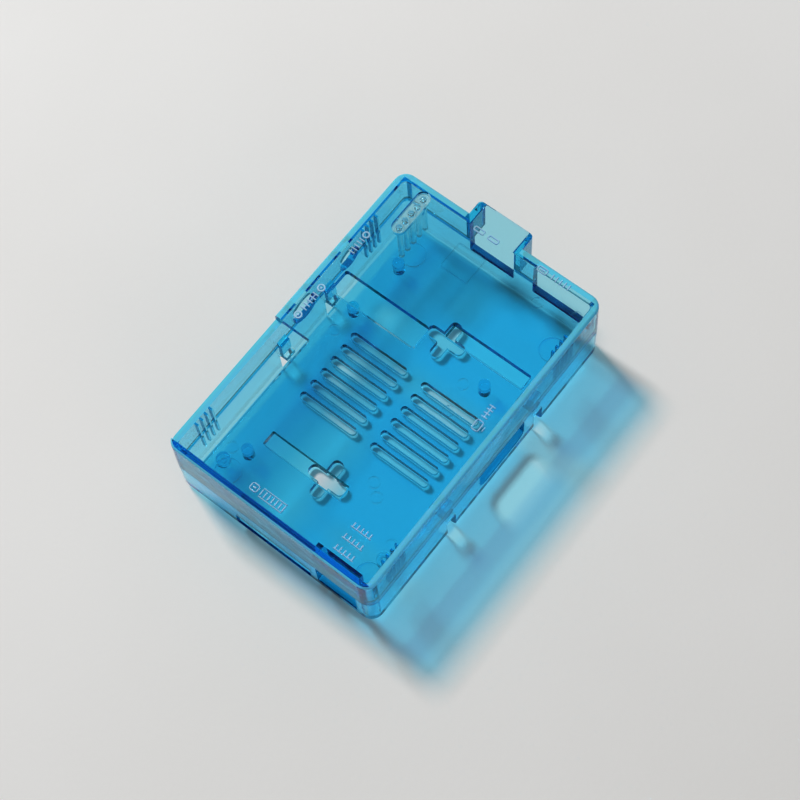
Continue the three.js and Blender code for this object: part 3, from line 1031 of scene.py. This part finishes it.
grooves = []
for x, y in EJECTORS:
    inner = circle_outline(x, y, EJECTOR_R - GROOVE_WIDTH, 36)
    grooves.append(groove(circle_outline(x, y, EJECTOR_R, 36), inner))
x0, x1, y0, y1 = SQUARE_CORE
line = GROOVE_WIDTH
grooves.append(groove(
    rounded_outline(x0, x1, y0, y1, SQUARE_R, 3),
    rounded_outline(x0 + line, x1 - line, y0 + line, y1 - line, SQUARE_R - line, 3)))
cut(lid, grooves)
soften(lid, LID_EDGE)
print("mould marks", len(grooves))

# %% [markdown]
# Beside each port the roof has a small raised picture of what plugs in there. They stand a
# quarter of a millimetre proud, with sloping sides that throw light. All of them are made
# from three shapes: a bar, a dot and a hollow frame or ring.

# %% Lid: shapes for the raised pictures
MARK_FOOT = ROOF_TOP - 0.1
MARK_SLOPE = 0.12
MARK_LINE = 0.5


def bar(x, y, w, h):
    radius = min(w, h) * 0.3
    low = centred_outline(x, y, w, h, radius, 2)
    high = centred_outline(x, y, w, h, radius - 0.05, 2, MARK_SLOPE)
    return loft("mark", [(low, MARK_FOOT), (high, MARK_TOP)])


def picture_frame(x, y, w, h):
    low = centred_outline(x, y, w, h, 0.1, 2, MARK_LINE)
    high = centred_outline(x, y, w, h, 0.1, 2, MARK_LINE - MARK_SLOPE)
    rings = [(low, MARK_FOOT - 0.5), (low, MARK_FOOT), (high, MARK_TOP), (high, MARK_TOP + 1)]
    return cut(bar(x, y, w, h), [loft("slab", rings)])


def dot(x, y, r):
    low, high = circle_outline(x, y, r, 20), circle_outline(x, y, r - MARK_SLOPE, 20)
    return loft("mark", [(low, MARK_FOOT), (high, MARK_TOP)])


def ring(x, y, r):
    middle = slab(circle_outline(x, y, r - MARK_LINE, 20), MARK_FOOT - 1, MARK_TOP + 1)
    return cut(dot(x, y, r), [middle])


def strokes_along_x(x, y, count, pitch, tall):
    """A row of short raised strokes, side by side along the length of the roof."""
    middle = (count - 1) / 2
    return [bar(x + (i - middle) * pitch, y, MARK_LINE, tall) for i in range(count)]


def strokes_along_y(x, y, count, pitch, wide):
    middle = (count - 1) / 2
    return [bar(x, y + (i - middle) * pitch, wide, MARK_LINE) for i in range(count)]


print("pictures stand", round(MARK_TOP - ROOF_TOP, 2), "mm proud")

# %% Lid: raised pictures
card = [picture_frame(-42.9, 6.6, 2.4, 2.6), bar(-42.9, 6.6, 0.6, 1.1)]
card += strokes_along_y(-42.9, 1.0, 7, 1.15, 1.9)
card += [bar(-41.7, 1.0, 0.4, 7.4), bar(-44.1, 1.0, 0.4, 7.4)]
power = []
for column in (-42.6, -39.2, -35.8):
    power += strokes_along_y(column, -20.9, 5, 1.25, 1.7)
    power.append(bar(column - 0.6, -20.9, 0.4, 6.2))
screen = [picture_frame(2.2, -26.4, 3.4, 2.4), bar(2.2, -28.2, 1.6, 0.4)]
screen += strokes_along_x(6.6, -26.4, 4, 1.15, 2.0)
screen.append(bar(6.6, -26.4, 4.2, 0.45))
video_jack = [ring(-1.2, 27.2, 1.2), dot(-1.2, 27.2, 0.4), ring(8.0, 27.2, 1.2), dot(8.0, 27.2, 0.4)]
video_jack += strokes_along_x(3.4, 27.2, 5, 1.2, 2.1)
video_jack.append(bar(3.4, 27.2, 5.4, 0.4))
sound = [ring(26.4, 27.4, 1.1)]
sound += strokes_along_x(22.6, 27.4, 5, 1.05, 2.0)
sockets = [picture_frame(44.6, 5.2, 1.6, 3.4), picture_frame(44.6, 0.8, 1.6, 3.4)]
network = [picture_frame(45.2, -14.2, 1.9, 3.2), bar(45.2, -14.2, 0.5, 1.6)]
network += strokes_along_y(45.2, -19.8, 5, 1.25, 1.8)
join(lid, card + power + screen + video_jack + sound + sockets + network)
polish(lid, *shell_finishes)
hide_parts("top_shell")
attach(lid, "lid")

# %% [markdown]
# ## The light pipe
#
# The board's lamps sit far below the roof. Five clear rods stand over them and carry the
# light up, as glass fibres do, to one head that is pressed into the roof. On the head each
# rod ends in a little dome, which spreads the light so that it can be seen from the side.

# %% Light pipe
PIPE_FOOT, PIPE_UNDER, PIPE_TOP = 10, ROOF_TOP - 2.2, ROOF_TOP - 0.15
PIPE_EDGE, ROD_R, LENS_R = 0.12, 0.8, 1.1
DOME_STEPS, DOME_ANGLE = 6, 84


def lens(x):
    rings = []
    for step in range(DOME_STEPS + 1):
        angle = math.radians(DOME_ANGLE * step / DOME_STEPS)
        outline = circle_outline(x, PIPE_Y, LENS_R * math.cos(angle), 24)
        rings.append((outline, PIPE_TOP - LENS_R + LENS_R * math.sin(angle)))
    return loft("dome", rings)


def light_pipe():
    outline = pipe_outline(PIPE_HEAD_R, PIPE_HEAD_R - HALF_ROUND, 12)
    head = slab(outline, PIPE_UNDER, PIPE_TOP - 0.5)
    head.name = "clear_light_pipe"
    parts = []
    for i in range(PIPE_RODS):
        x = PIPE_X - PIPE_REACH + i * PIPE_PITCH
        parts.append(slab(circle_outline(x, PIPE_Y, ROD_R, 24), PIPE_FOOT, PIPE_TOP - 0.6))
        parts.append(lens(x))
    return join(head, parts)


pipe = light_pipe()
polish(soften(pipe, PIPE_EDGE), water_clear_plastic)
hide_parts("light_pipe")
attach(pipe, "lid")

# %% [markdown]
# Last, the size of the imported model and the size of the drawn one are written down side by
# side. They have to agree, because the two are used in one another's place.

# %% Sizes and the end
visual_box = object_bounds()
shown("cad box", cad_box)
shown("visual box", visual_box)
